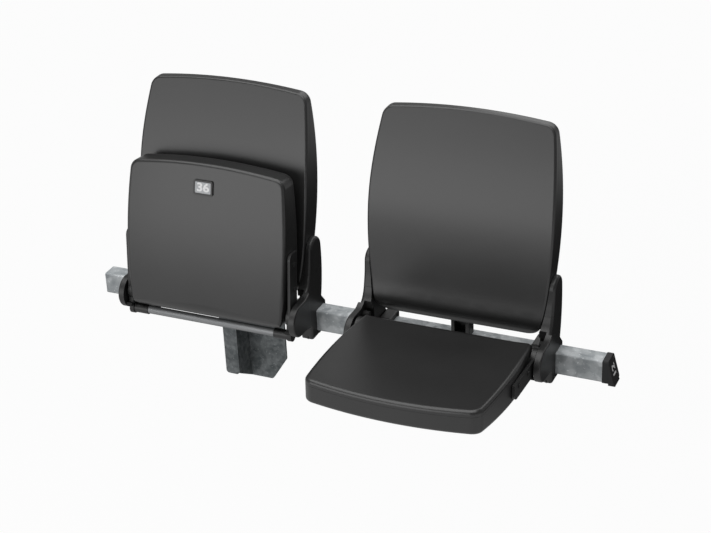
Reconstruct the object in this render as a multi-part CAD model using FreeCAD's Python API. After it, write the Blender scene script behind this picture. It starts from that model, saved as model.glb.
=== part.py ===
# Two tip-up stadium seats on one steel beam, the left one folded up and the right one down.
# Lengths are in millimetres. X runs along the beam, to the right as the sitter's front is
# seen, Y runs to the back of the seats and Z runs up. Every piece is drawn from the centre
# of the beam's section, level with the left seat's middle, and is shifted at the end so that
# the origin lies on the back face of the wall plate, midway between its two bolt holes.
import FreeCAD, Part
import math
import os
from FreeCAD import Vector as V

# Beam and the row of seats
beam_height = 50.0
beam_depth = 40.0
beam_wall = 3.0
beam_corner = 4.0
seat_pitch = 540.0
beam_left_overhang = 322.0
beam_right_overhang = 308.0

# Cap in the beam's right end
cap_overlap = 1.5
cap_short = 12.0
cap_long = 27.0
cap_corner = 4.5
cap_lip = 5.0
plug_length = 26.0
plug_play = 0.3
plug_wall = 3.0
plug_corner = 1.5
plug_hollow_corner = 0.5

# Wall bracket under the left seat
plate = 6.0
wall_plate_left = -26.0
wall_plate_right = 99.0
wall_plate_top = 76.0
wall_plate_bottom = -209.0
wall_plate_gap = 15.0
wall_plate_corner_x = 37.0
wall_plate_corner_z = 58.0
bracket_web_x = 6.0
bracket_flange_left = -24.0
bracket_flange_bottom = -175.0
bracket_flange_reach = 5.0
bracket_corner = 8.0
saddle_front_reach = 15.0
wall_bolt_spacing = 84.0
wall_bolt_hole = 6.5
wall_bolt_edge = 18.0

# Square bolts that hold the beam on the bracket
ubolt_radius = 4.0
ubolt_first_x = 38.0
ubolt_spacing = 40.0
ubolt_play = 0.3
ubolt_tail = 7.0
ubolt_nut_height = 6.5
ubolt_nut_across = 13.0

# Side arms, given as distances from the seat's middle and places in the side view
arm_beyond_back = 8.0
boss_proud = 5.0
boss_plate = 14.0
boss_edge_round = 3.0
boss_back = -58.0
boss_high_cut = 92.0
arm_edge_round = 6.0
arm_body = 26.0
blade_top = 195.0
blade_front = -29.0
blade_back = 24.0
blade_shoulder = 170.0
blade_back_widest = 110.0
blade_gap = 0.8
blade_waist = (13.0, 44.0)
front_sweep = [(-67.0, 84.0), (-46.0, 101.0), (-35.0, 132.0)]
boss_clear_top = 75.0
blade_clear_y = -52.0
cover_seam = 118.0
cover_gap = 0.4
cover_wall = 4.5
tenon_thickness = 4.5
tenon_play = 0.2
tenon_top = 166.0
tenon_front = -20.0
tenon_back = 14.0
boss_y = -104.0
boss_z = 46.0
boss_radius = 36.0
lug_front = -44.0
lug_bottom = -38.0
lug_back = -8.0
lug_round = 9.0
lug_top = -14.0
lug_sweep = (-58.0, 2.0)
hook_lip = 7.0
hook_drop = 12.0
hook_root = 11.0
hook_crown = 3.0
saddle_foot_length = 27.0
saddle_foot_height = 11.0
saddle_foot_round = 3.0

# Clamp screw under the beam and the jaw that it pulls forward
clamp_screw_in = 12.0
clamp_screw_drop = 5.5
clamp_screw_radius = 3.0
clamp_head_radius = 5.0
clamp_head_height = 5.0
clamp_head_recess = 6.0
clamp_socket_across = 4.0
clamp_socket_depth = 2.5
clamp_play = 0.3
clamp_gap = 2.0
jaw_width = 20.0
jaw_lip = 8.0
jaw_rise = 16.0
jaw_depth = 13.0
jaw_round = 4.0
nut_across = 10.0
nut_height = 5.0

# Pivot of the tip-up seat
pivot_y = -100.0
pivot_z = 52.0
pivot_radius = 6.0
pivot_depth = 10.0
bush_wall = 2.0
bush_flange_radius = 12.0
bush_play = 0.05
fold_angle = 93.0

# Backrest, its front and rear faces seen from the side and its outline seen from the front
back_bottom = 66.0
back_top = 509.5
back_profile = [(-20.0, 58.0), (-36.0, 76.0), (-42.0, 97.0), (-38.5, 125.0), (-33.5, 165.0),
                (-29.5, 205.0), (-10.0, 335.0), (48.0, 508.0), (52.0, 519.0)]
back_rear_profile = [(5.0, 58.0), (24.0, 190.0), (48.0, 335.0), (68.5, 519.0)]
back_half_mid = 201.0
back_bottom_narrower = 21.0
back_top_narrower = 19.0
back_mid_z = 285.0
back_crown = 12.0
back_corner_low = 40.0
back_corner_high = 25.0
back_wall = 4.0
back_edge_round = 5.0
back_parting = 16.0
parting_gap = 0.4

# Screws from the arms into the backrest
back_screw_radius = 4.0
back_screw_low = 132.0
back_screw_spacing = 22.0
back_screw_y = -4.0
back_screw_bite = 16.0
back_screw_boss = 9.0
back_screw_access = 6.8
back_screw_short = 3.0

# Block on the beam that carries the lower edge of the backrest
block_width = 41.0
block_depth = 30.0
block_y = -4.0
block_leg = 8.0
block_round = 3.0
block_base = 7.0

# Seat pan, drawn level with its rear edge at zero and its top face at zero, tilted afterwards
pan_tilt = 3.8
pan_rear_y = -69.0
pan_front_y = -401.0
pan_front_top_z = 100.5
pan_front_thickness = 48.5
pan_mid_thickness = 64.5
pan_rear_thickness = 71.0
pan_mid_y = -190.0
pan_bow = 15.0
pan_dish_radius = 2900.0
pan_side_gap = 1.0
pan_front_narrower = 9.0
pan_rear_narrower = 10.0
pan_corner_front = 24.0
pan_corner_rear = 32.0
pan_top_roll = 30.0
pan_low_roll = 40.0
pan_top_round = 8.0
pan_low_round = 8.0
pan_wall = 4.0
pan_parting = 13.0

# Hinge arms of the pan and the steel tube between them
hinge_gap = 3.0
hinge_hub = 10.0
hinge_strip = 6.0
hinge_disc = 25.0
hinge_link_root = 20.0
hinge_link_tip = 13.0
hinge_strip_length = 145.0
hinge_strip_above = 12.0
hinge_strip_below = 22.0
hinge_strip_round = 14.0
tube_back = 41.4
tube_drop = 10.7
tube_radius = 9.0
tube_wall = 2.0
socket_radius = 11.0
socket_length = 33.0
pan_screw_radius = 3.0
pan_screw_head = 5.5
pan_screw_head_height = 2.0
pan_screw_bite = 26.0
pan_screw_boss = 7.5
pan_screw_first = 62.0
pan_screw_spacing = 55.0

# Rubber buffers on the arms that stop the hinge arm at both ends of its swing
rest_buffer_radius = 7.0
fold_buffer_radius = 4.0
fold_buffer_reach = 39.0
buffer_gap = 0.3

# Number plate under the front edge of each pan
holder_width = 45.0
holder_height = 32.0
holder_depth = 3.5
holder_corner = 4.0
number_width = 37.0
number_height = 24.0
number_depth = 1.6
number_recess = 1.8
number_corner = 2.0
holder_from_front = 50.0

half_beam_y = beam_depth / 2
half_beam_z = beam_height / 2
beam_start = -beam_left_overhang
beam_end = seat_pitch + beam_right_overhang
wall_plate_front = half_beam_y + wall_plate_gap
wall_plate_back = wall_plate_front + plate
wall_bolt_x = (wall_plate_left + wall_plate_right) / 2
wall_bolt_z = wall_plate_top - wall_bolt_edge
origin = V(wall_bolt_x, wall_plate_back, wall_bolt_z)
back_half_bottom = back_half_mid - back_bottom_narrower
back_half_top = back_half_mid - back_top_narrower
arm_outer = back_half_mid + arm_beyond_back
boss_outer = arm_outer + boss_proud
boss_inner = boss_outer - boss_plate
arm_inner_body = arm_outer - arm_body
hinge_outer = boss_inner - hinge_gap
hinge_inner = hinge_outer - hinge_hub
tube_y = pivot_y + tube_back
tube_z = pivot_z - tube_drop
pan_half_mid = hinge_outer - hinge_strip - pan_side_gap
pan_screw_tip = pan_half_mid - pan_screw_bite

# Reach of the blocks that cut pieces apart, well past the largest piece
far = 700.0
dish_angle = 6.0


def box(x0, x1, y0, y1, z0, z1):
    return Part.makeBox(x1 - x0, y1 - y0, z1 - z0, V(x0, y0, z0))


def rod_x(x0, x1, y, z, radius):
    return Part.makeCylinder(radius, x1 - x0, V(x0, y, z), V(1, 0, 0))


def rod_y(y0, y1, x, z, radius):
    return Part.makeCylinder(radius, y1 - y0, V(x, y0, z), V(0, 1, 0))


def rod_z(z0, z1, x, y, radius):
    return Part.makeCylinder(radius, z1 - z0, V(x, y, z0), V(0, 0, 1))


def hexagon(x, y, z, direction, across, height):
    # A hexagonal block whose near face is centred on the given point.
    circle = across / math.sqrt(3)
    corners = [V(circle * math.cos(math.radians(60 * i)), circle * math.sin(math.radians(60 * i)), 0)
               for i in range(7)]
    body = Part.Face(Part.makePolygon(corners)).extrude(V(0, 0, height))
    body.Placement = FreeCAD.Placement(V(x, y, z), FreeCAD.Rotation(V(0, 0, 1), direction))
    return body


def nut(x, y, z, direction, across, height, bore):
    body = hexagon(x, y, z, direction, across, height)
    return body.cut(Part.makeCylinder(bore, height, V(x, y, z), direction))


def rounded_rectangle_x(x, half_y, half_z, radius):
    # A face square to the beam, centred on it, with round corners.
    arcs = []
    for sy, sz, start in ((1, 1, 0), (-1, 1, 90), (-1, -1, 180), (1, -1, 270)):
        cy, cz = sy * (half_y - radius), sz * (half_z - radius)
        points = [V(x, cy + radius * math.cos(math.radians(start + step)),
                    cz + radius * math.sin(math.radians(start + step))) for step in (0, 45, 90)]
        arcs.append(points)
    edges = []
    for index, points in enumerate(arcs):
        edges.append(Part.Arc(*points).toShape())
        edges.append(Part.LineSegment(points[2], arcs[(index + 1) % 4][0]).toShape())
    return Part.Face(Part.Wire(edges))


def side_wire(parts):
    # A closed outline in the side view, at x = 0, from straight runs, arcs and smooth runs.
    edges = []
    for kind, points, *tangents in parts:
        corners = [V(0, y, z) for y, z in points]
        if kind == "line":
            edges += [Part.LineSegment(a, b).toShape() for a, b in zip(corners, corners[1:])]
        elif kind == "arc":
            edges.append(Part.Arc(*corners).toShape())
        else:
            curve = Part.BSplineCurve()
            if tangents:
                start, end = tangents[0]
                curve.interpolate(Points=corners, InitialTangent=V(0, *start), FinalTangent=V(0, *end))
            else:
                curve.interpolate(corners)
            edges.append(curve.toShape())
    return Part.Wire(edges)


def side_prism(parts, x0, x1):
    solid = Part.Face(side_wire(parts)).extrude(V(x1 - x0, 0, 0))
    solid.translate(V(x0, 0, 0))
    return solid


def mirrored(shape):
    return shape.mirror(V(0, 0, 0), V(1, 0, 0))


def fillet_where(shape, radius, test):
    chosen = [edge for edge in shape.Edges if test(edge)]
    return shape.makeFillet(radius, chosen) if chosen else shape


def lies_at_x(x):
    return lambda edge: all(abs(v.X - x) < 0.001 for v in edge.Vertexes)


def export(name, shape, x=0.0):
    moved = shape.copy()
    moved.translate(V(x, 0, 0) - origin)
    moved.exportStep("parts/%s.step" % name)
    exported[name] = moved


exported = {}
os.makedirs("parts", exist_ok=True)


# The beam is a cold-formed rectangular tube, cut square at both ends.
def beam():
    outer = rounded_rectangle_x(beam_start, half_beam_y, half_beam_z, beam_corner)
    inner = rounded_rectangle_x(beam_start, half_beam_y - beam_wall, half_beam_z - beam_wall,
                                beam_corner - beam_wall)
    run = V(beam_end - beam_start, 0, 0)
    return outer.extrude(run).cut(inner.extrude(run))


# The end cap is a moulded wedge that is longer below, with a hollow plug inside the tube.
def end_cap():
    half_y = half_beam_y + cap_overlap
    half_z = half_beam_z + cap_overlap
    head = rounded_rectangle_x(beam_end, half_y, half_z, cap_corner).extrude(V(cap_long, 0, 0))
    lip = box(beam_end + cap_short, beam_end + cap_long, -half_y + cap_corner,
              half_y - cap_corner, -half_z - cap_lip, -half_z + cap_corner)
    head = head.fuse(lip).removeSplitter()
    low = -half_z - cap_lip
    cutter = Part.makePolygon([V(beam_end + x, -half_y, z) for x, z in
                               ((cap_short, half_z), (far, half_z), (far, low), (cap_long, low),
                                (cap_short, half_z))])
    head = head.cut(Part.Face(cutter).extrude(V(0, 2 * half_y, 0)))
    inner_y = half_beam_y - beam_wall - plug_play
    inner_z = half_beam_z - beam_wall - plug_play
    plug = rounded_rectangle_x(beam_end - plug_length, inner_y, inner_z, plug_corner)
    hollow = rounded_rectangle_x(beam_end - plug_length, inner_y - plug_wall, inner_z - plug_wall,
                                 plug_hollow_corner)
    run = V(plug_length, 0, 0)
    return head.fuse(plug.extrude(run).cut(hollow.extrude(run))).removeSplitter()


# The wall bracket is welded from plate: wall plate, web, front flange and the saddle that
# carries the beam. The wall plate rises behind the beam to its two bolt holes.
def riser_bracket():
    z0, z1 = wall_plate_bottom, wall_plate_top
    corner_x = wall_plate_right - wall_plate_corner_x
    corner_z = z0 + wall_plate_corner_z
    outline = [(wall_plate_left, z0), (corner_x, z0), (wall_plate_right, corner_z),
               (wall_plate_right, z1), (wall_plate_left, z1), (wall_plate_left, z0)]
    wall = Part.Face(Part.makePolygon([V(x, wall_plate_front, z) for x, z in outline]))
    wall = wall.extrude(V(0, plate, 0))
    wall = fillet_where(wall, bracket_corner, lambda e: abs(e.Length - plate) < 0.001)
    for side in (-1, 1):
        wall = wall.cut(rod_y(wall_plate_front, wall_plate_back,
                              wall_bolt_x + side * wall_bolt_spacing / 2, wall_bolt_z, wall_bolt_hole))
    saddle_top = -half_beam_z
    saddle_front = -half_beam_y - saddle_front_reach
    saddle = box(wall_plate_left, wall_plate_right, saddle_front, wall_plate_front,
                 saddle_top - plate, saddle_top)
    for x in ubolt_places():
        for side in (-1, 1):
            saddle = saddle.cut(rod_z(saddle_top - plate, saddle_top, x, side * ubolt_leg(),
                                      ubolt_radius + ubolt_play))
    flange_front = -half_beam_y - bracket_flange_reach
    flange_right = bracket_web_x + plate / 2
    flange = box(bracket_flange_left, flange_right, flange_front, flange_front + plate,
                 bracket_flange_bottom, saddle_top - plate)
    flange = fillet_where(flange, bracket_corner, lambda e: abs(e.Length - plate) < 0.001
                          and e.BoundBox.ZMax < bracket_flange_bottom + 1)
    web_outline = [(flange_front + plate, saddle_top - plate), (wall_plate_front, saddle_top - plate),
                   (wall_plate_front, wall_plate_bottom), (flange_front + plate, bracket_flange_bottom),
                   (flange_front + plate, saddle_top - plate)]
    web = Part.Face(Part.makePolygon([V(bracket_web_x - plate / 2, y, z) for y, z in web_outline]))
    web = web.extrude(V(plate, 0, 0))
    return wall.fuse([saddle, flange, web]).removeSplitter()


def ubolt_places():
    return (ubolt_first_x, ubolt_first_x + ubolt_spacing)


def ubolt_leg():
    return half_beam_y + ubolt_play + ubolt_radius


# Each square bolt is one bent rod that goes over the beam and down through the saddle.
def beam_ubolts():
    bolts = []
    bend = 2 * ubolt_radius
    low = -half_beam_z - plate - ubolt_nut_height - ubolt_tail
    top = half_beam_z + ubolt_play + ubolt_radius
    leg = ubolt_leg()
    for x in ubolt_places():
        inner = bend * (1 - math.sqrt(0.5))
        path = Part.Wire([
            Part.LineSegment(V(x, -leg, low), V(x, -leg, top - bend)).toShape(),
            Part.Arc(V(x, -leg, top - bend), V(x, -leg + inner, top - inner), V(x, -leg + bend, top)).toShape(),
            Part.LineSegment(V(x, -leg + bend, top), V(x, leg - bend, top)).toShape(),
            Part.Arc(V(x, leg - bend, top), V(x, leg - inner, top - inner), V(x, leg, top - bend)).toShape(),
            Part.LineSegment(V(x, leg, top - bend), V(x, leg, low)).toShape()])
        ring = Part.Wire([Part.Circle(V(x, -leg, low), V(0, 0, 1), ubolt_radius).toShape()])
        bolts.append(path.makePipeShell([ring], True, False))
    return Part.makeCompound(bolts)


def ubolt_nuts():
    return Part.makeCompound([
        nut(x, side * ubolt_leg(), -half_beam_z - plate, V(0, 0, -1), ubolt_nut_across,
            ubolt_nut_height, ubolt_radius)
        for x in ubolt_places() for side in (-1, 1)])


# Side view of the arm: blade, hook over the beam's back edge, lug in front of the beam and
# the round boss that carries the seat's pivot.
def arm_outline():
    boss_low = boss_z - boss_radius
    boss_high = boss_z + boss_radius
    under = -half_beam_z
    corner = lug_round * (1 - math.sqrt(0.5))
    return [
        ("smooth", [(boss_y, boss_high)] + front_sweep + [(blade_front, blade_shoulder)],
         ((1, 0), (0.1, 1))),
        ("arc", [(blade_front, blade_shoulder), ((blade_front + blade_back) / 2, blade_top),
                 (blade_back, blade_shoulder)]),
        ("arc", [(blade_back, blade_shoulder), (blade_back, blade_back_widest), blade_waist]),
        ("line", [blade_waist, (half_beam_y, half_beam_z + hook_root),
                  (half_beam_y + hook_lip, half_beam_z + hook_crown),
                  (half_beam_y + hook_lip, half_beam_z - hook_drop),
                  (half_beam_y, half_beam_z - hook_drop), (half_beam_y, half_beam_z),
                  (-half_beam_y, half_beam_z), (-half_beam_y, under), (lug_back, under),
                  (lug_back, lug_bottom), (lug_front + lug_round, lug_bottom)]),
        ("arc", [(lug_front + lug_round, lug_bottom), (lug_front + corner, lug_bottom + corner),
                 (lug_front, lug_bottom + lug_round)]),
        ("line", [(lug_front, lug_bottom + lug_round), (lug_front, lug_top)]),
        ("smooth", [(lug_front, lug_top), lug_sweep, (boss_y, boss_low)], ((0, 1), (-1, 0))),
        ("arc", [(boss_y, boss_low), (boss_y - boss_radius, boss_z), (boss_y, boss_high)]),
    ]


def arm_whole():
    # Right-hand arm before the cover is cut off it. Inboard of the boss it is cleared for
    # the swing of the hinge arm, the boss plate stands proud of the blade outside, and the
    # blade's inner face follows the backrest's side.
    body = side_prism(arm_outline(), arm_inner_body, arm_outer)
    body = fillet_where(body, arm_edge_round, lambda e: lies_at_x(arm_outer)(e) and rounded_run(e))
    clear_boss = box(0, boss_inner, -far, lug_front, -far, boss_clear_top)
    clear_front = box(0, boss_inner, -far, blade_clear_y, boss_clear_top, boss_high_cut)
    body = body.cut(clear_boss).cut(clear_front)
    proud = side_prism(arm_outline(), arm_outer - arm_edge_round, boss_outer)
    proud = proud.common(box(0, far, -far, boss_back, -far, boss_high_cut))
    proud = fillet_where(proud, boss_edge_round, lies_at_x(boss_outer))
    arm = body.fuse(proud).removeSplitter().cut(back_outline(-blade_gap))
    foot = box(arm_inner_body - saddle_foot_length, arm_inner_body, -half_beam_y, half_beam_y,
               half_beam_z, half_beam_z + saddle_foot_height)
    lip = box(arm_inner_body - saddle_foot_length, arm_inner_body, half_beam_y,
              half_beam_y + hook_lip, half_beam_z - hook_drop, half_beam_z + saddle_foot_height)
    foot = fillet_where(foot.fuse(lip).removeSplitter(), saddle_foot_round,
                        lambda e: e.BoundBox.ZMin > half_beam_z + saddle_foot_height - 0.01)
    return arm.fuse(foot).removeSplitter()


def rounded_run(edge):
    # True for the arm's smooth front, top and back runs, and not at the hook and the beam.
    box_of = edge.BoundBox
    back_run = box_of.ZMin > half_beam_z + hook_root
    return back_run or box_of.YMax < -half_beam_y - 1


def tenon(play):
    outer = arm_outer - cover_wall
    return box(outer - tenon_thickness - play, outer + play, tenon_front - play,
               tenon_back + play, cover_seam - 1, tenon_top + play)


def clamp_x():
    return arm_outer - clamp_screw_in


def clamp_z():
    return -half_beam_z - clamp_screw_drop


def make_arm(whole):
    above = box(0, far, -far, far, cover_seam, far)
    arm = whole.cut(above).fuse(tenon(0)).removeSplitter()
    arm = arm.cut(rod_x(boss_inner, boss_inner + pivot_depth, pivot_y, pivot_z, pivot_radius))
    arm = arm.cut(rod_y(lug_front, lug_back, clamp_x(), clamp_z(), clamp_screw_radius + clamp_play))
    arm = arm.cut(rod_y(lug_front, lug_front + clamp_head_recess, clamp_x(), clamp_z(),
                        clamp_head_radius + clamp_play))
    for z in (back_screw_low, back_screw_low + back_screw_spacing):
        arm = arm.cut(rod_x(0, arm_outer, back_screw_y, z, back_screw_radius))
    return arm


def make_cover(whole):
    above = box(0, far, -far, far, cover_seam + cover_gap, far)
    cover = whole.common(above).cut(tenon(tenon_play))
    for z in (back_screw_low, back_screw_low + back_screw_spacing):
        cover = cover.cut(rod_x(0, arm_outer - cover_wall, back_screw_y, z, back_screw_access))
    return cover


# The clamp jaw hooks the beam's lower back edge and is pulled forward by the clamp screw.
def make_jaw():
    x0, x1 = clamp_x() - jaw_width / 2, clamp_x() + jaw_width / 2
    under = -half_beam_z
    y0 = lug_back + clamp_gap
    back = half_beam_y + jaw_lip
    jaw = box(x0, x1, y0, back, under - jaw_depth, under)
    lip = box(x0, x1, half_beam_y, back, under - jaw_depth, under + jaw_rise)
    jaw = jaw.fuse(lip).removeSplitter()
    jaw = fillet_where(jaw, jaw_round, lambda e: e.BoundBox.YMin > back - 0.01 and e.BoundBox.XLength > 1)
    jaw = jaw.cut(rod_y(y0, back, clamp_x(), clamp_z(), clamp_screw_radius + clamp_play))
    pocket = hexagon(clamp_x(), back - nut_height, clamp_z(), V(0, 1, 0), nut_across, nut_height)
    return jaw.cut(pocket)


def make_clamp_screw():
    head_y = lug_front + clamp_head_recess
    head = rod_y(head_y - clamp_head_height, head_y, clamp_x(), clamp_z(), clamp_head_radius)
    socket = hexagon(clamp_x(), head_y - clamp_head_height, clamp_z(), V(0, 1, 0),
                     clamp_socket_across, clamp_socket_depth)
    shank = rod_y(head_y, half_beam_y + jaw_lip, clamp_x(), clamp_z(), clamp_screw_radius)
    return head.cut(socket).fuse(shank).removeSplitter()


def make_clamp_nut():
    y = half_beam_y + jaw_lip - nut_height
    return nut(clamp_x(), y, clamp_z(), V(0, 1, 0), nut_across, nut_height, clamp_screw_radius)


# The pivot pin is fixed in the blind bore of the boss and points inboard.
def make_pivot_pin():
    return rod_x(hinge_inner, boss_inner + pivot_depth, pivot_y, pivot_z, pivot_radius)


# The plastic bush is pressed into the hinge arm, and its flange runs beside the boss.
def make_bush():
    tube = rod_x(hinge_inner, hinge_outer, pivot_y, pivot_z, pivot_radius + bush_play + bush_wall)
    flange = rod_x(hinge_outer, boss_inner - buffer_gap, pivot_y, pivot_z, bush_flange_radius)
    bore = rod_x(hinge_inner, boss_inner, pivot_y, pivot_z, pivot_radius + bush_play)
    return tube.fuse(flange).cut(bore).removeSplitter()


def link(x0, x1, first, second):
    # A flat bar with round ends between two circles in the side view, given as y, z, radius.
    (y1, z1, r1), (y2, z2, r2) = first, second
    length = math.hypot(y2 - y1, z2 - z1)
    along = math.atan2(z2 - z1, y2 - y1)
    lean = math.acos((r1 - r2) / length)
    corners = []
    for (y, z, r), sign in ((first, 1), (second, 1), (second, -1), (first, -1)):
        angle = along + sign * lean
        corners.append(V(x0, y + r * math.cos(angle), z + r * math.sin(angle)))
    middle = Part.Face(Part.makePolygon(corners + corners[:1])).extrude(V(x1 - x0, 0, 0))
    ends = [rod_x(x0, x1, y, z, r) for y, z, r in (first, second)]
    return middle.fuse(ends).removeSplitter()


def pan_screw_steps():
    return (pan_screw_first, pan_screw_first + pan_screw_spacing)


def strip_point(distance):
    slope = math.radians(pan_tilt)
    return pivot_y - distance * math.cos(slope), pivot_z + distance * math.sin(slope)


# The hinge arm turns on the pivot: a hub, a flat strip along the pan's side and a link to
# the socket that holds the end of the cross tube.
def make_hinge_arm():
    strip = box(hinge_outer - hinge_strip, hinge_outer, pivot_y - hinge_strip_length, pivot_y,
                pivot_z - hinge_strip_below, pivot_z + hinge_strip_above)
    strip = fillet_where(strip, hinge_strip_round, lambda e: abs(e.Length - hinge_strip) < 0.001
                         and e.BoundBox.YMax < pivot_y - 1 and e.BoundBox.ZMax < pivot_z)
    strip.rotate(V(0, pivot_y, pivot_z), V(-1, 0, 0), pan_tilt)
    foot = link(hinge_inner, hinge_outer, (pivot_y, pivot_z, hinge_link_root),
                (tube_y, tube_z, hinge_link_tip))
    hub = rod_x(hinge_inner, hinge_outer, pivot_y, pivot_z, hinge_disc)
    socket = rod_x(hinge_inner - socket_length, hinge_inner, tube_y, tube_z, socket_radius)
    arm = hub.fuse([strip, foot, socket]).removeSplitter()
    arm = arm.cut(rod_x(hinge_inner - socket_length, hinge_inner, tube_y, tube_z, tube_radius))
    arm = arm.cut(rod_x(hinge_inner, hinge_outer, pivot_y, pivot_z, pivot_radius + bush_play + bush_wall))
    for step in pan_screw_steps():
        y, z = strip_point(step)
        arm = arm.cut(rod_x(hinge_inner, hinge_outer, y, z, pan_screw_radius))
    return arm


# The cross tube ties the two hinge arms together behind the pan.
def make_cross_tube():
    outer = rod_x(-hinge_inner, hinge_inner, tube_y, tube_z, tube_radius)
    return outer.cut(rod_x(-hinge_inner, hinge_inner, tube_y, tube_z, tube_radius - tube_wall))


# Two buffers on each arm: the rear one carries the link when the seat is down, the front
# one stops it when the seat is folded up.
def make_buffers():
    reach = math.hypot(tube_back, tube_drop)
    start = math.atan2(-tube_drop, tube_back)
    end = start - math.radians(fold_angle)
    lean = math.asin((hinge_link_root - hinge_link_tip) / reach)

    def beside_link(far, radius):
        return math.asin((hinge_link_root + radius + buffer_gap) / far) - lean

    places = [(reach, start + beside_link(reach, rest_buffer_radius), rest_buffer_radius),
              (fold_buffer_reach, end - beside_link(fold_buffer_reach, fold_buffer_radius),
               fold_buffer_radius)]
    return [rod_x(hinge_inner, boss_inner, pivot_y + far * math.cos(angle),
                  pivot_z + far * math.sin(angle), radius) for far, angle, radius in places]


# The backrest is a hollow double wall. Its form is the front outline, pushed through from
# front to back and met by the curved side view, with the edges of both faces rounded.
def back_outline(inset):
    z0, side, z1 = back_bottom + inset, back_top - inset - back_crown, back_top - inset
    low, mid, high = (half - inset for half in (back_half_bottom, back_half_mid, back_half_top))
    edges = [Part.LineSegment(V(-low, 0, z0), V(low, 0, z0)).toShape(),
             Part.Arc(V(low, 0, z0), V(mid, 0, back_mid_z), V(high, 0, side)).toShape(),
             Part.Arc(V(high, 0, side), V(0, 0, z1), V(-high, 0, side)).toShape(),
             Part.Arc(V(-high, 0, side), V(-mid, 0, back_mid_z), V(-low, 0, z0)).toShape()]
    front = Part.Face(Part.Wire(edges)).extrude(V(0, far, 0))
    front.translate(V(0, -far / 2, 0))
    for x, z, radius in ((low, z0, back_corner_low), (high, side, back_corner_high)):
        front = fillet_where(front, radius - inset, lambda e: abs(abs(e.BoundBox.Center.x) - x) < 0.5
                             and abs(e.BoundBox.Center.z - z) < 0.5)
    return front


def shifted(profile, step):
    return [(y + step, z) for y, z in profile]


def back_form(inset):
    face = shifted(back_profile, inset)
    rear = shifted(back_rear_profile, -inset)
    side_view = [("smooth", face), ("line", [face[-1], rear[-1]]), ("smooth", rear[::-1]),
                 ("line", [rear[0], face[0]])]
    return back_outline(inset).common(side_prism(side_view, -far, far))


def in_front_of_back(depth):
    # Everything before a surface that runs at this depth behind the backrest's front face.
    face = shifted(back_profile, depth)
    view = [("smooth", face), ("line", [face[-1], (-far, face[-1][1]), (-far, face[0][1]), face[0]])]
    return side_prism(view, -far, far)


def lies_on_profile(profile):
    # Picks the edges whose middle lies on a face with this profile in the side view.
    curve = side_wire([("smooth", profile)])

    def test(edge):
        middle = edge.valueAt((edge.FirstParameter + edge.LastParameter) / 2)
        return curve.distToShape(Part.Vertex(0, middle.y, middle.z))[0] < 0.5
    return test


def back_pieces():
    outer = back_form(0)
    outer = fillet_where(outer, back_edge_round, lies_on_profile(back_profile))
    outer = fillet_where(outer, back_edge_round, lies_on_profile(back_rear_profile))
    inner = back_form(back_wall)
    panel = outer.common(in_front_of_back(back_parting)).cut(inner)
    shell = outer.cut(in_front_of_back(back_parting + parting_gap)).cut(inner)
    for z in (back_screw_low, back_screw_low + back_screw_spacing):
        side = back_side_x(z)
        boss = rod_x(side - back_screw_bite - back_wall, side - back_wall / 2, back_screw_y, z,
                     back_screw_boss)
        hole = rod_x(side - back_screw_bite, arm_outer, back_screw_y, z, back_screw_radius)
        shell = shell.fuse([boss, mirrored(boss)]).cut([hole, mirrored(hole)])
    return panel, shell


def back_side_x(z):
    # Half width of the backrest at one height, from the arc of its side edge.
    arc = Part.Arc(V(back_half_bottom, 0, back_bottom), V(back_half_mid, 0, back_mid_z),
                   V(back_half_top, 0, back_top - back_crown)).toShape()
    line = Part.LineSegment(V(0, 0, z), V(far, 0, z)).toShape()
    return arc.distToShape(line)[1][0][0].x


def make_back_screws():
    screws = []
    for z in (back_screw_low, back_screw_low + back_screw_spacing):
        screw = rod_x(back_side_x(z) - back_screw_bite, arm_outer - cover_wall - back_screw_short,
                      back_screw_y, z, back_screw_radius)
        screws += [screw, mirrored(screw)]
    return Part.makeCompound(screws)


# The block stands on the beam under the middle of the backrest, and is hollow in front.
def make_block():
    y0, y1 = block_y - block_depth / 2, block_y + block_depth / 2
    half, top = block_width / 2, back_bottom - buffer_gap
    block = box(-half, half, y0, y1, half_beam_z, top)
    block = fillet_where(block, block_round, lambda e: e.BoundBox.ZLength > block_base)
    return block.cut(box(-half + block_leg, half - block_leg, y0, y1 - block_leg,
                         half_beam_z + block_base, top))


def pan_length():
    return (pan_rear_y - pan_front_y) / math.cos(math.radians(pan_tilt))


def pan_plan(inset):
    # The pan's outline seen from above, pushed down from its top past its underside.
    front = -pan_length() + inset
    half, middle, last = (pan_half_mid - narrower - inset for narrower in
                          (pan_front_narrower, 0, pan_rear_narrower))
    half_way = -pan_length() / 2
    edges = [Part.Arc(V(-half, front, 0), V(0, front - pan_bow, 0), V(half, front, 0)).toShape(),
             Part.Arc(V(half, front, 0), V(middle, half_way, 0), V(last, -inset, 0)).toShape(),
             Part.LineSegment(V(last, -inset, 0), V(-last, -inset, 0)).toShape(),
             Part.Arc(V(-last, -inset, 0), V(-middle, half_way, 0), V(-half, front, 0)).toShape()]
    plan = Part.Face(Part.Wire(edges)).extrude(V(0, 0, 3 * pan_rear_thickness))
    plan.translate(V(0, 0, -2 * pan_rear_thickness))
    for x, y, radius in ((half, front, pan_corner_front), (last, -inset, pan_corner_rear)):
        plan = fillet_where(plan, radius - inset, lambda e: abs(abs(e.BoundBox.Center.x) - x) < 0.5
                            and abs(e.BoundBox.Center.y - y) < 0.5)
    return plan


def belly():
    # The circle that the pan's underside follows in the side view.
    arc = Part.Arc(V(0, -pan_length() - pan_bow, -pan_front_thickness),
                   V(0, pan_mid_y, -pan_mid_thickness), V(0, 0, -pan_rear_thickness))
    return arc.toShape().Curve


def belly_lean(y):
    # Angle of the underside against the level, at one distance along the pan.
    return math.asin((y - belly().Center.y) / belly().Radius)


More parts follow.
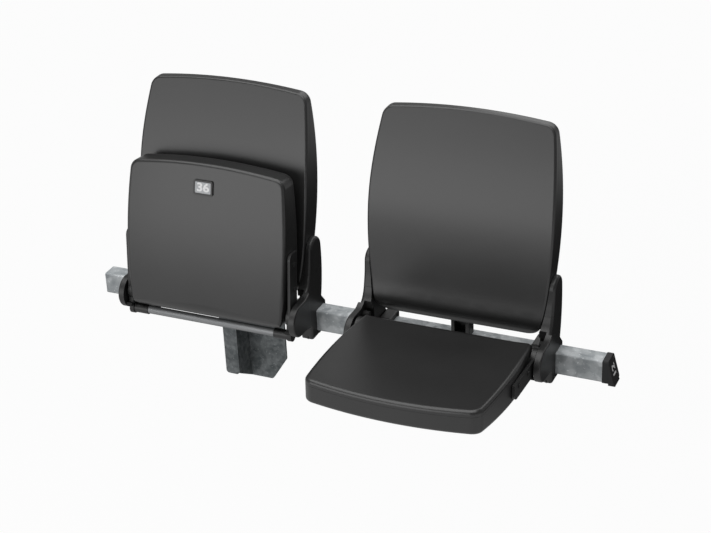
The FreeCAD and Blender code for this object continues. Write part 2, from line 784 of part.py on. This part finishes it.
def belly_z(y):
    return belly().Center.z - belly().Radius * math.cos(belly_lean(y))


def dished(view):
    # Sweeps a side view about a far line above the pan, so that it rises towards both sides.
    face = Part.Face(side_wire(view))
    face.rotate(V(0, 0, pan_dish_radius), V(0, 1, 0), -dish_angle)
    return face.revolve(V(0, 0, pan_dish_radius), V(0, 1, 0), 2 * dish_angle)


def dish_rise(x):
    return pan_dish_radius - math.sqrt(pan_dish_radius ** 2 - x ** 2)


def pan_form(inset):
    ends = [(y, belly_z(y) + inset) for y in (-pan_length() - 2 * pan_bow, pan_mid_y, pan_bow)]
    view = [("arc", ends), ("line", [ends[2], (ends[2][0], -inset), (ends[0][0], -inset), ends[0]])]
    return pan_plan(inset).common(dished(view))


def lies_on_top(edge):
    middle = edge.valueAt((edge.FirstParameter + edge.LastParameter) / 2)
    return abs(middle.z - dish_rise(middle.x)) < 0.5


def lies_on_belly(edge):
    middle = edge.valueAt((edge.FirstParameter + edge.LastParameter) / 2)
    return abs(middle.z - belly_z(middle.y) - dish_rise(middle.x)) < 1.5


def outside_rolls(inset):
    # What the two large rolls take off the pan's rear edge, above and below.
    cutters = []
    for radius, z, towards in ((pan_top_roll, -pan_top_roll, 1),
                               (pan_low_roll, -pan_rear_thickness + pan_low_roll, -1)):
        corner = box(-far, far, -radius, far, min(z, z + towards * far), max(z, z + towards * far))
        cutters.append(corner.cut(rod_x(-far, far, -radius, z, radius - inset)))
    return cutters


def pan_placed(shape):
    # Tilts the pan up towards its front and puts it at its place in front of the beam.
    moved = shape.copy()
    moved.rotate(V(0, 0, 0), V(-1, 0, 0), pan_tilt)
    rear_z = pan_front_top_z - (pan_rear_y - pan_front_y) * math.tan(math.radians(pan_tilt))
    moved.translate(V(0, pan_rear_y, rear_z))
    return moved


def pan_band(z0, z1):
    return dished([("line", [(-far, z0), (far, z0), (far, z1), (-far, z1), (-far, z0)])])


def pan_pieces():
    outer = pan_form(0)
    outer = fillet_where(outer, pan_top_round, lies_on_top)
    outer = fillet_where(outer, pan_low_round, lies_on_belly).cut(outside_rolls(0))
    inner = pan_form(pan_wall).cut(outside_rolls(pan_wall))
    upper = pan_band(-pan_parting, pan_parting)
    lower = pan_band(-2 * pan_rear_thickness, -pan_parting - parting_gap)
    panel = pan_placed(outer.common(upper).cut(inner))
    shell = pan_placed(outer.common(lower).cut(inner))
    whole = pan_placed(outer.common(lower))
    for step in pan_screw_steps():
        y, z = strip_point(step)
        boss = rod_x(pan_screw_tip, pan_half_mid, y, z, pan_screw_boss).common(whole)
        hole = rod_x(pan_screw_tip, hinge_outer, y, z, pan_screw_radius)
        shell = shell.fuse([boss, mirrored(boss)]).cut([hole, mirrored(hole)])
    return panel, shell


def make_pan_screws():
    screws = []
    for step in pan_screw_steps():
        y, z = strip_point(step)
        shank = rod_x(pan_screw_tip, hinge_outer, y, z, pan_screw_radius)
        head = rod_x(hinge_outer, hinge_outer + pan_screw_head_height, y, z, pan_screw_head)
        screw = shank.fuse(head).removeSplitter()
        screws += [screw, mirrored(screw)]
    return Part.makeCompound(screws)


def plate_body(width, height, depth, radius):
    # A flat plate with round corners whose back lies at zero and whose face looks down.
    plate_box = box(-width / 2, width / 2, -height / 2, height / 2, -depth, 0)
    return fillet_where(plate_box, radius, lambda e: abs(e.BoundBox.ZLength - depth) < 0.001)


def on_underside(shape):
    # Puts a plate on the pan's underside, near its front edge, in the placed pan's frame.
    y = -pan_length() - pan_bow + holder_from_front
    moved = shape.copy()
    moved.rotate(V(0, 0, 0), V(1, 0, 0), math.degrees(belly_lean(y)))
    moved.translate(V(0, y, belly_z(y)))
    return pan_placed(moved)


def number_pieces():
    seat = number_recess - holder_depth
    recess = plate_body(number_width, number_height, number_recess, number_corner)
    recess.translate(V(0, 0, seat))
    holder = plate_body(holder_width, holder_height, holder_depth, holder_corner).cut(recess)
    number = plate_body(number_width, number_height, number_depth, number_corner)
    number.translate(V(0, 0, seat))
    return on_underside(holder), on_underside(number)


def both_sides(shapes):
    return Part.makeCompound(shapes + [mirrored(shape) for shape in shapes])


def export_seat(prefix, centre, folded):
    whole = arm_whole()
    for name, shape in (("arm", make_arm(whole)), ("arm_cover", make_cover(whole)),
                        ("clamp_jaw", make_jaw())):
        export("%s_right_%s" % (prefix, name), shape, centre)
        export("%s_left_%s" % (prefix, name), mirrored(shape), centre)
    panel, shell = back_pieces()
    fixed = {"clamp_screws": both_sides([make_clamp_screw()]),
             "clamp_nuts": both_sides([make_clamp_nut()]),
             "pivot_pins": both_sides([make_pivot_pin()]),
             "stop_buffers": both_sides(make_buffers()),
             "back_panel": panel,
             "back_shell": shell,
             "back_screws": make_back_screws(),
             "back_block": make_block()}
    for name, shape in fixed.items():
        export("%s_%s" % (prefix, name), shape, centre)
    top, under = pan_pieces()
    holder, number = number_pieces()
    hinge = make_hinge_arm()
    moving = {"pan_top": top,
              "pan_underside": under,
              "right_hinge_arm": hinge,
              "left_hinge_arm": mirrored(hinge),
              "hinge_bushes": both_sides([make_bush()]),
              "cross_tube": make_cross_tube(),
              "pan_screws": make_pan_screws(),
              "number_holder": holder,
              "number_plate": number}
    for name, shape in moving.items():
        if folded:
            shape.rotate(V(0, pivot_y, pivot_z), V(-1, 0, 0), fold_angle)
        export("%s_%s" % (prefix, name), shape, centre)


export("beam", beam())
export("end_cap", end_cap())
export("riser_bracket", riser_bracket())
export("beam_ubolts", beam_ubolts())
export("ubolt_nuts", ubolt_nuts())
export_seat("left_seat", 0.0, True)
export_seat("right_seat", seat_pitch, False)
for name, shape in exported.items():
    print("%-28s valid %s solids %d volume %.0f" % (name, shape.isValid(), len(shape.Solids), shape.Volume))
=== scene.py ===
import math

import bpy
from mathutils import Matrix, Vector


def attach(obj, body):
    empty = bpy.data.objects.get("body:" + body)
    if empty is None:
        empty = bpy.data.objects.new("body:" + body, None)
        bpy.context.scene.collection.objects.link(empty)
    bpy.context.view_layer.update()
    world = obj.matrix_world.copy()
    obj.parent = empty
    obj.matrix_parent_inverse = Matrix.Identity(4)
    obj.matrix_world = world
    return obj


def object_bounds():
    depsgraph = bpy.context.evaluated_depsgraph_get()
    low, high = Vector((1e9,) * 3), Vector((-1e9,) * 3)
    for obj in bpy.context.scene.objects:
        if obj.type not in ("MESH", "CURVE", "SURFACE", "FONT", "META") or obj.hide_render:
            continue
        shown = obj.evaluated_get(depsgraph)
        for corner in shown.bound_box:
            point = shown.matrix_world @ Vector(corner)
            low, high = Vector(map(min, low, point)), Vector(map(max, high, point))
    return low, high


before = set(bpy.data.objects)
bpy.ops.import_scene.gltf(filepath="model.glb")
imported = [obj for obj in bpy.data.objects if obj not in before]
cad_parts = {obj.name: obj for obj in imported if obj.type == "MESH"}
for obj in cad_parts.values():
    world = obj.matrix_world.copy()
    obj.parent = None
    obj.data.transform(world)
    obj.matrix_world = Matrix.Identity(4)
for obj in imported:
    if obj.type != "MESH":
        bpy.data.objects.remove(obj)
cad_low, cad_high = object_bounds()


# Beam and riser bracket. Rectangular steel tube and welded plate, dipped in hot zinc after
# they are cut, so they show soft crystals and pale specks. Their edges are painted paler,
# partly as rubbed zinc and partly as a painted highlight along the edges. The bracket
# carries the beam on the wall.
def shader_group(name, inputs, outputs):
    tree = bpy.data.node_groups.new(name, "ShaderNodeTree")
    for label, value in inputs.items():
        socket = tree.interface.new_socket(label, in_out="INPUT", socket_type="NodeSocketFloat")
        socket.default_value = value
    for label in outputs:
        tree.interface.new_socket(label, in_out="OUTPUT", socket_type="NodeSocketFloat")
    return tree, tree.nodes.new("NodeGroupInput"), tree.nodes.new("NodeGroupOutput")


def add_node(tree, kind, values=None, **settings):
    node = tree.nodes.new(kind)
    for name, value in settings.items():
        setattr(node, name, value)
    for name, value in (values or {}).items():
        node.inputs[name].default_value = value
    return node


def math_node(tree, operation, first, second):
    node = add_node(tree, "ShaderNodeMath", operation=operation)
    for index, value in enumerate((first, second)):
        if isinstance(value, bpy.types.NodeSocket):
            tree.links.new(value, node.inputs[index])
        else:
            node.inputs[index].default_value = value
    return node.outputs[0]


def per_metre(tree, size_mm):
    # A pattern's scale in repeats per metre from the size of one repeat in millimetres.
    return math_node(tree, "DIVIDE", 1000.0, size_mm)


def colour_ramp(tree, source, stops):
    ramp = add_node(tree, "ShaderNodeValToRGB")
    elements = ramp.color_ramp.elements
    while len(elements) < len(stops):
        elements.new(0.5)
    for element, (place, colour) in zip(elements, stops):
        element.position = place
        element.color = (*colour, 1.0)
    tree.links.new(source, ramp.inputs["Fac"])
    return ramp.outputs["Color"]


def start_material(name, roughness, metallic=0.0, specular=0.5):
    material = bpy.data.materials.new(name)
    material.use_nodes = True
    surface = material.node_tree.nodes["Principled BSDF"]
    surface.inputs["Roughness"].default_value = roughness
    surface.inputs["Metallic"].default_value = metallic
    surface.inputs["Specular IOR Level"].default_value = specular
    return material, material.node_tree, surface


def finish_nodes(names, material):
    for name in names:
        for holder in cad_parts[name].material_slots:
            holder.material = material


def dipped_zinc_group():
    crystal_share = 0.3
    patch_share = 0.7
    grit_share = 0.25
    tree, given, result = shader_group("dipped zinc", {"Crystal mm": 12.0, "Patch mm": 45.0},
                                       ("Shade", "Specks", "Height"))
    place = add_node(tree, "ShaderNodeTexCoord").outputs["Object"]
    warp = add_node(tree, "ShaderNodeTexNoise", {"Scale": 60.0, "Detail": 2.0})
    tree.links.new(place, warp.inputs["Vector"])
    bent = add_node(tree, "ShaderNodeMixRGB", {"Fac": 0.012}, blend_type="ADD")
    tree.links.new(place, bent.inputs["Color1"])
    tree.links.new(warp.outputs["Color"], bent.inputs["Color2"])
    crystal = add_node(tree, "ShaderNodeTexVoronoi", {"Smoothness": 0.6}, feature="SMOOTH_F1")
    tree.links.new(bent.outputs["Color"], crystal.inputs["Vector"])
    tree.links.new(per_metre(tree, given.outputs["Crystal mm"]), crystal.inputs["Scale"])
    tone = add_node(tree, "ShaderNodeSeparateColor")
    tree.links.new(crystal.outputs["Color"], tone.inputs[0])
    patch = add_node(tree, "ShaderNodeTexNoise", {"Detail": 5.0, "Roughness": 0.65})
    tree.links.new(place, patch.inputs["Vector"])
    tree.links.new(per_metre(tree, given.outputs["Patch mm"]), patch.inputs["Scale"])
    crystal_part = math_node(tree, "MULTIPLY", tone.outputs[0], crystal_share)
    patch_part = math_node(tree, "MULTIPLY", patch.outputs[0], patch_share)
    shade = math_node(tree, "ADD", crystal_part, patch_part)
    tree.links.new(shade, result.inputs["Shade"])
    spot = add_node(tree, "ShaderNodeTexNoise", {"Scale": 210.0, "Detail": 1.0})
    tree.links.new(place, spot.inputs["Vector"])
    specks = add_node(tree, "ShaderNodeMapRange", {"From Min": 0.66, "From Max": 0.74})
    tree.links.new(spot.outputs[0], specks.inputs["Value"])
    tree.links.new(specks.outputs["Result"], result.inputs["Specks"])
    grit = add_node(tree, "ShaderNodeTexNoise", {"Scale": 700.0, "Detail": 2.0})
    tree.links.new(place, grit.inputs["Vector"])
    grit_part = math_node(tree, "MULTIPLY", grit.outputs[0], grit_share)
    tree.links.new(math_node(tree, "ADD", shade, grit_part), result.inputs["Height"])
    return tree


def lay_bump(tree, surface, height, strength, distance):
    bump = add_node(tree, "ShaderNodeBump", {"Strength": strength, "Distance": distance})
    tree.links.new(height, bump.inputs["Height"])
    tree.links.new(bump.outputs["Normal"], surface.inputs["Normal"])


def edge_wear_and_highlight_group():
    # Marks a narrow band along the edges, broken up by noise, for both rubbed wear and a painted
    # highlight along the edges.
    metres_per_mm = 0.001
    tree, given, result = shader_group("edge wear and highlight", {"Width mm": 1.5, "Break mm": 12.0}, ("Edge",))
    width = math_node(tree, "MULTIPLY", given.outputs["Width mm"], metres_per_mm)
    rounded = add_node(tree, "ShaderNodeBevel", samples=6)
    tree.links.new(width, rounded.inputs["Radius"])
    surface = add_node(tree, "ShaderNodeNewGeometry")
    alike = add_node(tree, "ShaderNodeVectorMath", operation="DOT_PRODUCT")
    tree.links.new(rounded.outputs["Normal"], alike.inputs[0])
    tree.links.new(surface.outputs["Normal"], alike.inputs[1])
    bend = add_node(tree, "ShaderNodeMapRange", {"From Min": 0.99, "From Max": 0.85})
    tree.links.new(alike.outputs["Value"], bend.inputs["Value"])
    place = add_node(tree, "ShaderNodeTexCoord").outputs["Object"]
    edge_breakup_noise = add_node(tree, "ShaderNodeTexNoise", {"Detail": 3.0})
    tree.links.new(place, edge_breakup_noise.inputs["Vector"])
    tree.links.new(per_metre(tree, given.outputs["Break mm"]), edge_breakup_noise.inputs["Scale"])
    edge_breakup = add_node(tree, "ShaderNodeMapRange", {"From Min": 0.3, "From Max": 0.6,
                                                 "To Min": 0.35, "To Max": 1.0})
    tree.links.new(edge_breakup_noise.outputs[0], edge_breakup.inputs["Value"])
    edge = math_node(tree, "MULTIPLY", bend.outputs["Result"], edge_breakup.outputs["Result"])
    tree.links.new(edge, result.inputs["Edge"])
    return tree


def blend_colour(tree, share, first, second):
    blend = add_node(tree, "ShaderNodeMixRGB")
    tree.links.new(share, blend.inputs["Fac"])
    tree.links.new(first, blend.inputs["Color1"])
    blend.inputs["Color2"].default_value = (*second, 1.0)
    return blend.outputs["Color"]


def edge_mask(tree, width_mm):
    wear = add_node(tree, "ShaderNodeGroup", node_tree=edge_group)
    wear.inputs["Width mm"].default_value = width_mm
    return wear.outputs["Edge"]


zinc_group = dipped_zinc_group()
edge_group = edge_wear_and_highlight_group()


def zinc_material(name, dark, light, crystal_mm, patch_mm):
    speck_and_edge_highlight_paleness = 1.5
    speck_strength = 0.5
    edge_width_mm = 1.6
    edge_strength = 0.7
    material, tree, surface = start_material(name, 0.45, metallic=0.06, specular=0.22)
    zinc = add_node(tree, "ShaderNodeGroup", node_tree=zinc_group)
    zinc.inputs["Crystal mm"].default_value = crystal_mm
    zinc.inputs["Patch mm"].default_value = patch_mm
    between = tuple((a + b) / 2 for a, b in zip(dark, light))
    colour = colour_ramp(tree, zinc.outputs["Shade"], ((0.28, dark), (0.5, between), (0.72, light)))
    pale = tuple(part * speck_and_edge_highlight_paleness for part in light)
    specks = math_node(tree, "MULTIPLY", zinc.outputs["Specks"], speck_strength)
    colour = blend_colour(tree, specks, colour, pale)
    # The edges are painted paler, partly as rubbed zinc and partly as a painted highlight.
    edge = math_node(tree, "MULTIPLY", edge_mask(tree, edge_width_mm), edge_strength)
    tree.links.new(blend_colour(tree, edge, colour, pale), surface.inputs["Base Color"])
    rough = add_node(tree, "ShaderNodeMapRange", {"From Min": 0.25, "From Max": 0.75,
                                                  "To Min": 0.6, "To Max": 0.42})
    tree.links.new(zinc.outputs["Shade"], rough.inputs["Value"])
    tree.links.new(rough.outputs["Result"], surface.inputs["Roughness"])
    lay_bump(tree, surface, zinc.outputs["Height"], strength=0.35, distance=0.0004)
    return material


beam_zinc = zinc_material("dipped zinc on beam", dark=(0.20, 0.22, 0.23), light=(0.53, 0.55, 0.56),
                          crystal_mm=14.0, patch_mm=60.0)
bracket_zinc = zinc_material("dipped zinc on bracket", dark=(0.07, 0.08, 0.083),
                             light=(0.215, 0.23, 0.235), crystal_mm=9.0, patch_mm=34.0)
finish_nodes(["beam"], beam_zinc)
finish_nodes(["riser_bracket"], bracket_zinc)


# Bolts, nuts, screws and pins. Small turned and rolled steel parts. The square bolts on the
# beam and their nuts have zinc plating that has dulled a little; the rest are blackened.
def plated_material(name, dark, light):
    material, tree, surface = start_material(name, 0.35, metallic=0.9)
    place = add_node(tree, "ShaderNodeTexCoord").outputs["Object"]
    dull = add_node(tree, "ShaderNodeTexNoise", {"Scale": 220.0, "Detail": 3.0})
    tree.links.new(place, dull.inputs["Vector"])
    colour = colour_ramp(tree, dull.outputs[0], ((0.3, dark), (0.7, light)))
    tree.links.new(colour, surface.inputs["Base Color"])
    lay_bump(tree, surface, dull.outputs[0], strength=0.2, distance=0.0001)
    return material


plating = plated_material("zinc plating", dark=(0.26, 0.26, 0.25), light=(0.46, 0.46, 0.45))
black_steel = plated_material("blackened steel", dark=(0.03, 0.03, 0.03), light=(0.07, 0.07, 0.07))
finish_nodes(["beam_ubolts", "ubolt_nuts"], plating)
seats = ("left_seat", "right_seat")
black_steel_pieces = ("pivot_pins", "back_screws", "clamp_nuts", "clamp_screws")
for seat in seats:
    finish_nodes([seat + "_" + piece for piece in black_steel_pieces], black_steel)


# Moulded plastic. The arms, covers, clamps and small holders are injection moulded in black
# nylon with a fine grain, and the end cap in a duller black. The backs and pans are moulded
# halves of very dark grey polypropylene with a soft sheen. All edges are scuffed a little and
# painted a little lighter, partly as wear and partly as a painted highlight along the edges.
def moulded_grain_group():
    tree, given, result = shader_group("moulded grain", {"Grain mm": 0.9, "Cloud mm": 160.0},
                                       ("Height", "Cloud"))
    place = add_node(tree, "ShaderNodeTexCoord").outputs["Object"]
    grain = add_node(tree, "ShaderNodeTexNoise", {"Detail": 3.0, "Roughness": 0.6})
    tree.links.new(place, grain.inputs["Vector"])
    tree.links.new(per_metre(tree, given.outputs["Grain mm"]), grain.inputs["Scale"])
    tree.links.new(grain.outputs[0], result.inputs["Height"])
    cloud = add_node(tree, "ShaderNodeTexNoise", {"Detail": 4.0, "Roughness": 0.5})
    tree.links.new(place, cloud.inputs["Vector"])
    tree.links.new(per_metre(tree, given.outputs["Cloud mm"]), cloud.inputs["Scale"])
    tree.links.new(cloud.outputs[0], result.inputs["Cloud"])
    return tree


grain_group = moulded_grain_group()


def moulded_material(name, colour, edge_wear_and_highlight_colour, roughness, specular, grain_mm, grain_depth):
    colour_spread = 0.25
    roughness_spread = 0.02
    edge_width_mm = 1.2
    scuff_roughness = 0.22
    material, tree, surface = start_material(name, roughness, specular=specular)
    grain = add_node(tree, "ShaderNodeGroup", node_tree=grain_group)
    grain.inputs["Grain mm"].default_value = grain_mm
    dark = tuple(part * (1 - colour_spread) for part in colour)
    light = tuple(part * (1 + colour_spread) for part in colour)
    tone = colour_ramp(tree, grain.outputs["Cloud"], ((0.1, dark), (0.9, light)))
    # The edges are painted lighter, partly as wear and partly as a painted highlight.
    edge = edge_mask(tree, edge_width_mm)
    tree.links.new(blend_colour(tree, edge, tone, edge_wear_and_highlight_colour), surface.inputs["Base Color"])
    rough = add_node(tree, "ShaderNodeMapRange", {"To Min": roughness - roughness_spread,
                                                  "To Max": roughness + roughness_spread})
    tree.links.new(grain.outputs["Cloud"], rough.inputs["Value"])
    scuffs = math_node(tree, "MULTIPLY", edge, scuff_roughness)
    scuffed = math_node(tree, "ADD", rough.outputs["Result"], scuffs)
    tree.links.new(scuffed, surface.inputs["Roughness"])
    lay_bump(tree, surface, grain.outputs["Height"], strength=0.4, distance=grain_depth)
    return material


nylon = moulded_material("black arm nylon", colour=(0.008, 0.008, 0.008),
                         edge_wear_and_highlight_colour=(0.02, 0.02, 0.02), roughness=0.4, specular=0.45,
                         grain_mm=0.7, grain_depth=0.00003)
seat_plastic = moulded_material("dark grey seat plastic", colour=(0.015, 0.015, 0.015),
                                edge_wear_and_highlight_colour=(0.022, 0.022, 0.022), roughness=0.3, specular=0.5,
                                grain_mm=1.1, grain_depth=0.00002)
cap_plastic = moulded_material("black cap plastic", colour=(0.009, 0.009, 0.010),
                               edge_wear_and_highlight_colour=(0.02, 0.02, 0.02), roughness=0.5, specular=0.25,
                               grain_mm=0.8, grain_depth=0.00003)
nylon_pieces = ("right_arm", "left_arm", "right_arm_cover", "left_arm_cover", "right_clamp_jaw",
                "left_clamp_jaw", "right_hinge_arm", "left_hinge_arm", "hinge_bushes",
                "back_block", "number_holder", "pan_screws")
seat_pieces = ("back_panel", "back_shell", "pan_top", "pan_underside")
for seat in seats:
    finish_nodes([seat + "_" + piece for piece in nylon_pieces], nylon)
    finish_nodes([seat + "_" + piece for piece in seat_pieces], seat_plastic)
finish_nodes(["end_cap"], cap_plastic)


# Stop buffers. Soft black moulded rubber with no shine, fixed to the arms where the pan
# comes to rest at both ends of its swing.
# Its edges are painted a little lighter too, partly as wear and partly as a painted highlight.
rubber = moulded_material("buffer rubber", colour=(0.012, 0.012, 0.012),
                          edge_wear_and_highlight_colour=(0.02, 0.02, 0.02), roughness=0.8, specular=0.3,
                          grain_mm=0.5, grain_depth=0.00004)
finish_nodes([seat + "_stop_buffers" for seat in seats], rubber)


# Cross tubes. Round steel tube between the hinge arms, drawn and then zinc plated, so its
# fine marks run lengthways.
def drawn_tube_material(dark, light):
    material, tree, surface = start_material("drawn tube", 0.45, metallic=0.5)
    place = add_node(tree, "ShaderNodeTexCoord").outputs["Object"]
    along = add_node(tree, "ShaderNodeMapping")
    along.inputs["Scale"].default_value = (6.0, 260.0, 260.0)
    tree.links.new(place, along.inputs["Vector"])
    marks = add_node(tree, "ShaderNodeTexNoise", {"Scale": 1.0, "Detail": 4.0})
    tree.links.new(along.outputs["Vector"], marks.inputs["Vector"])
    colour = colour_ramp(tree, marks.outputs[0], ((0.3, dark), (0.7, light)))
    tree.links.new(colour, surface.inputs["Base Color"])
    lay_bump(tree, surface, marks.outputs[0], strength=0.2, distance=0.0001)
    return material


drawn_tube = drawn_tube_material(dark=(0.16, 0.165, 0.17), light=(0.26, 0.265, 0.27))
finish_nodes([seat + "_cross_tube" for seat in seats], drawn_tube)


# Number plates. A pressed grey plate in a black holder under the pan, near its front edge,
# with a plain seat number printed on it in white.
def painted_material(name, dark, light):
    material, tree, surface = start_material(name, 0.5, specular=0.3)
    place = add_node(tree, "ShaderNodeTexCoord").outputs["Object"]
    film = add_node(tree, "ShaderNodeTexNoise", {"Scale": 500.0, "Detail": 3.0})
    tree.links.new(place, film.inputs["Vector"])
    colour = colour_ramp(tree, film.outputs[0], ((0.3, dark), (0.7, light)))
    tree.links.new(colour, surface.inputs["Base Color"])
    rough = add_node(tree, "ShaderNodeMapRange", {"To Min": 0.42, "To Max": 0.58})
    tree.links.new(film.outputs[0], rough.inputs["Value"])
    tree.links.new(rough.outputs["Result"], surface.inputs["Roughness"])
    lay_bump(tree, surface, film.outputs[0], strength=0.2, distance=0.00005)
    return material


plate_paint = painted_material("grey plate paint", dark=(0.33, 0.34, 0.35), light=(0.41, 0.42, 0.43))
digit_paint = painted_material("white print", dark=(0.62, 0.62, 0.62), light=(0.74, 0.74, 0.74))
print_height = 0.0001
digit_widening = 1.2
digit_boldness = 0.03


def printed_number(name, number, size, carrier, facing, reading, body):
    # Finds the flat face that looks along facing, and lays the digits on it along reading.
    least_agreement = 0.9
    faces = [face for face in carrier.data.polygons if face.normal.dot(facing) > least_agreement]
    area = sum(face.area for face in faces)
    normal = sum((face.normal * face.area for face in faces), Vector()).normalized()
    centre = sum((face.center * face.area for face in faces), Vector()) / area
    along = (reading - normal * reading.dot(normal)).normalized()
    text = bpy.data.curves.new(name, "FONT")
    text.body = number
    text.size = size
    text.align_x = "CENTER"
    text.align_y = "CENTER"
    text.offset = size * digit_boldness
    text.extrude = print_height
    text.materials.append(digit_paint)
    piece = bpy.data.objects.new(name, text)
    bpy.context.scene.collection.objects.link(piece)
    upright = normal.cross(along)
    turn = Matrix((along * digit_widening, upright, normal)).transposed().to_4x4()
    piece.matrix_world = Matrix.Translation(centre) @ turn
    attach(piece, body)


rightwards = Vector((1, 0, 0))
forwards = Vector((0, -1, 0))
upwards = Vector((0, 0, 1))
seat_digit_size = 0.025
for seat, number, facing in (("left_seat", "36", forwards), ("right_seat", "37", -upwards)):
    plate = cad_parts[seat + "_number_plate"]
    finish_nodes([seat + "_number_plate"], plate_paint)
    printed_number(seat + "_digits", number, seat_digit_size, plate, facing, rightwards, seat)


# Row number. A plain number printed in white on the sloping end of the beam's cap, where it
# reads upwards.
row_digit_size = 0.024
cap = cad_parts["end_cap"]
printed_number("row_digits", "12", row_digit_size, cap, rightwards, upwards, "frame")


# Studio. A white floor below the seats, a white room and three large soft lamps: one in
# front and to the left, one above, and a weaker one behind. The camera stands in front and
# to the right, a little above the seats.
floor_drop = 0.19
floor_half = 12.0
floor_white = 0.97
floor_grey = 0.25
painted_shade_patch_place = (0.95, 0.75)
floor_z = cad_low.z - floor_drop
floor_mesh = bpy.data.meshes.new("floor")
corners = [(-floor_half, -floor_half, floor_z), (floor_half, -floor_half, floor_z),
           (floor_half, floor_half, floor_z), (-floor_half, floor_half, floor_z)]
floor_mesh.from_pydata(corners, [], [(0, 1, 2, 3)])
floor = bpy.data.objects.new("floor", floor_mesh)
bpy.context.scene.collection.objects.link(floor)
floor_paint, floor_tree, floor_surface = start_material("white floor", 0.9, specular=0.0)
floor_place = add_node(floor_tree, "ShaderNodeTexCoord").outputs["Object"]
floor_axes = add_node(floor_tree, "ShaderNodeSeparateXYZ")
floor_tree.links.new(floor_place, floor_axes.inputs[0])
# The glow that the plastic mirrors is painted light: it fades from a painted pool of light at the
# front of the floor to a painted shade patch behind and to the right of the seats, which their side
# walls mirror, and comes back around it. The floor's own colour is painted with the same glow.
front_glow = add_node(floor_tree, "ShaderNodeMapRange", {"From Min": -0.6, "From Max": 0.5,
                                                         "To Min": 1.0, "To Max": 0.02})
floor_tree.links.new(floor_axes.outputs["Y"], front_glow.inputs["Value"])
patch_distance = add_node(floor_tree, "ShaderNodeVectorMath", operation="DISTANCE")
floor_tree.links.new(floor_place, patch_distance.inputs[0])
patch_distance.inputs[1].default_value = (*painted_shade_patch_place, floor_z)
rear_glow = add_node(floor_tree, "ShaderNodeMapRange", {"From Min": 0.75, "From Max": 1.7,
                                                        "To Min": 0.0, "To Max": 0.45})
floor_tree.links.new(patch_distance.outputs["Value"], rear_glow.inputs["Value"])
floor_glow = math_node(floor_tree, "MAXIMUM", front_glow.outputs["Result"],
                       rear_glow.outputs["Result"])
# The floor's colour carries the same painted pool of light in front and painted shade in the patch.
floor_painted_light_colour = math_node(floor_tree, "MULTIPLY", floor_glow, floor_grey)
floor_tree.links.new(floor_painted_light_colour, floor_surface.inputs["Base Color"])
floor_path = add_node(floor_tree, "ShaderNodeLightPath")
floor_mirrored = math_node(floor_tree, "MULTIPLY", floor_path.outputs["Is Glossy Ray"], floor_glow)
floor_seen = math_node(floor_tree, "MAXIMUM", floor_path.outputs["Is Camera Ray"], floor_mirrored)
floor_seen = math_node(floor_tree, "MAXIMUM", floor_seen, floor_path.outputs["Is Transmission Ray"])
floor_share = math_node(floor_tree, "MULTIPLY", floor_seen, floor_white)
white_glow = add_node(floor_tree, "ShaderNodeEmission")
floor_blend = add_node(floor_tree, "ShaderNodeMixShader")
floor_tree.links.new(floor_share, floor_blend.inputs["Fac"])
floor_tree.links.new(floor_surface.outputs[0], floor_blend.inputs[1])
floor_tree.links.new(white_glow.outputs[0], floor_blend.inputs[2])
floor_tree.links.new(floor_blend.outputs[0], floor_tree.nodes["Material Output"].inputs["Surface"])
floor_mesh.materials.append(floor_paint)

room_mirror_share = 0.1
world = bpy.data.worlds.new("white room")
bpy.context.scene.world = world
world.use_nodes = True
room = world.node_tree
room_path = add_node(room, "ShaderNodeLightPath")
room_mirrored = math_node(room, "MULTIPLY", room_path.outputs["Is Glossy Ray"], room_mirror_share)
room_seen = math_node(room, "MAXIMUM", room_path.outputs["Is Camera Ray"], room_mirrored)
room_seen = math_node(room, "MAXIMUM", room_seen, room_path.outputs["Is Transmission Ray"])
room_strength = add_node(room, "ShaderNodeMapRange", {"To Min": 0.28, "To Max": 0.98})
room.links.new(room_seen, room_strength.inputs["Value"])
background = room.nodes["Background"]
background.inputs["Color"].default_value = (1.0, 1.0, 1.0, 1.0)
room.links.new(room_strength.outputs["Result"], background.inputs["Strength"])

middle = (cad_low + cad_high) / 2


def soft_lamp(name, offset, width, height, power):
    place = middle + Vector(offset)
    data = bpy.data.lights.new(name, "AREA")
    data.shape = "RECTANGLE"
    data.size = width
    data.size_y = height
    data.energy = power
    lamp = bpy.data.objects.new(name, data)
    lamp.location = place
    lamp.rotation_mode = "QUATERNION"
    lamp.rotation_quaternion = (middle - place).to_track_quat("-Z", "Y")
    bpy.context.scene.collection.objects.link(lamp)


soft_lamp("front lamp", (-1.2, -3.0, 0.5), width=3.0, height=2.0, power=46.0)
soft_lamp("rear lamp", (0.5, 2.6, 2.0), width=2.6, height=1.6, power=18.0)
soft_lamp("top lamp", (-0.3, -0.2, 3.0), width=4.2, height=3.8, power=132.0)

azimuth = math.radians(24.696)
elevation = math.radians(27.753)
roll = math.radians(-2.692)
eye = Vector((1.5935, -2.9371, 1.7583))
backward = Vector((math.sin(azimuth) * math.cos(elevation),
                   -math.cos(azimuth) * math.cos(elevation), math.sin(elevation)))
level_right = upwards.cross(backward).normalized()
level_up = backward.cross(level_right)
camera_right = level_right * math.cos(roll) + level_up * math.sin(roll)
camera_up = level_up * math.cos(roll) - level_right * math.sin(roll)
camera_turn = Matrix((camera_right, camera_up, backward)).transposed().to_4x4()
lens = bpy.data.cameras.new("camera")
lens.sensor_width = 36.0
lens.lens = 85.81
camera = bpy.data.objects.new("camera", lens)
camera.matrix_world = Matrix.Translation(eye) @ camera_turn
bpy.context.scene.collection.objects.link(camera)
bpy.context.scene.camera = camera
bpy.context.scene.view_settings.view_transform = "Standard"
